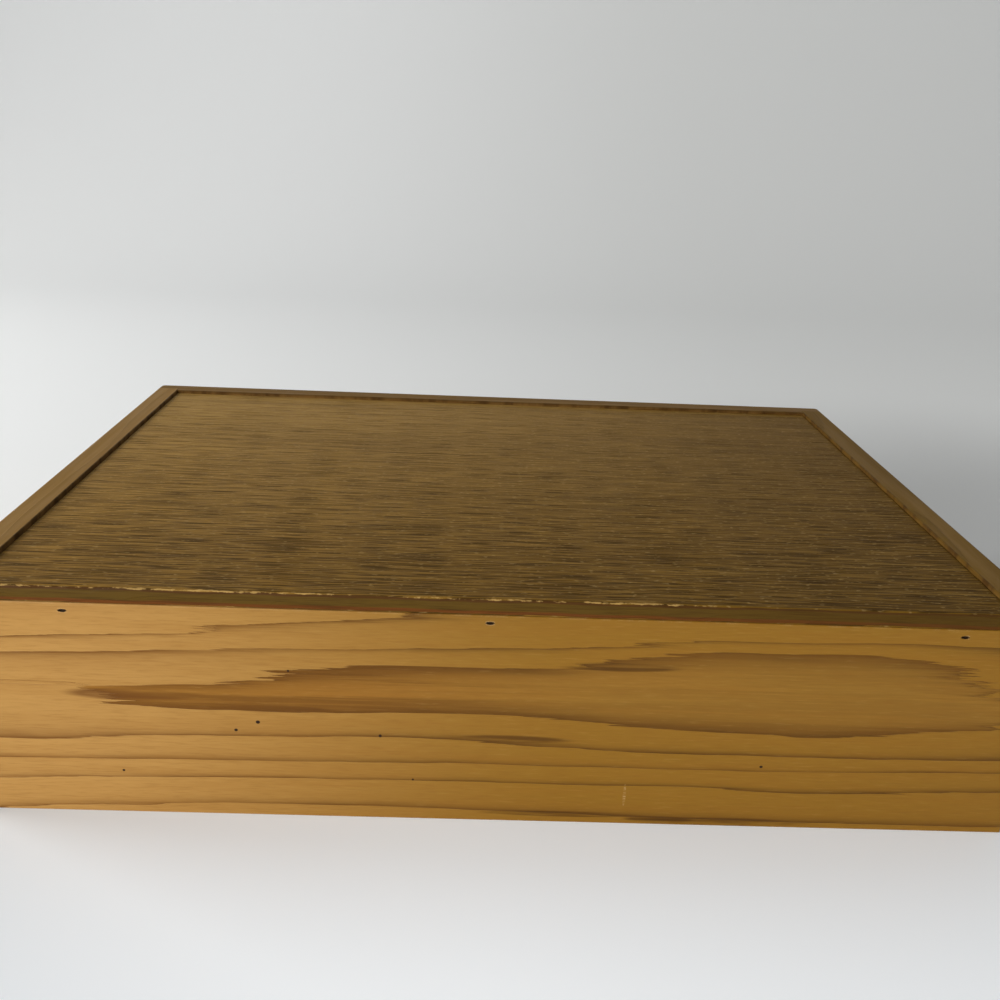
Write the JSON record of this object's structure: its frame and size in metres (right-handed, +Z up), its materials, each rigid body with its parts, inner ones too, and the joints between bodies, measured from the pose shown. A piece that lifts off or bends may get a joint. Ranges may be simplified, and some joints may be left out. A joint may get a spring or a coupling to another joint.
{
  "type": "sliding lid wooden tool box",
  "caption": "Low rectangular wooden tool box; its plywood lid slides out forwards in grooves of the sides, over a lowered front board.",
  "frame": {"origin": "under the middle of the box, on the surface it stands on", "axes": "+X to the right along the front, the front board faces -Y, +Z up"},
  "size_m": [0.356, 0.256, 0.085],
  "materials": {
    "pine_board": "clear satin varnish, honey coloured",
    "pine_strip": "bare planed softwood",
    "lid_plywood": "thin varnish on open-pored plywood",
    "bottom_plywood": "bare plywood",
    "brad_steel": "dull dark steel"
  },
  "bodies": {
    "box": {"front_board": "pine_board", "back_board": "pine_board", "left_side_board": "pine_board", "right_side_board": "pine_board", "lid_rest_strip": "pine_strip", "bottom_panel": "bottom_plywood", "lid_rest_brads": "brad_steel", "left_front_brads": "brad_steel", "right_front_brads": "brad_steel", "left_back_brads": "brad_steel", "right_back_brads": "brad_steel", "bottom_brads": "brad_steel"},
    "lid": {"sliding_lid": "lid_plywood"}
  },
  "joints": [
    {"name": "lid_slide", "type": "slide", "parent": "box", "child": "lid", "axis": [0, -1, 0], "range_m": [0, 0.2495]}
  ]
}
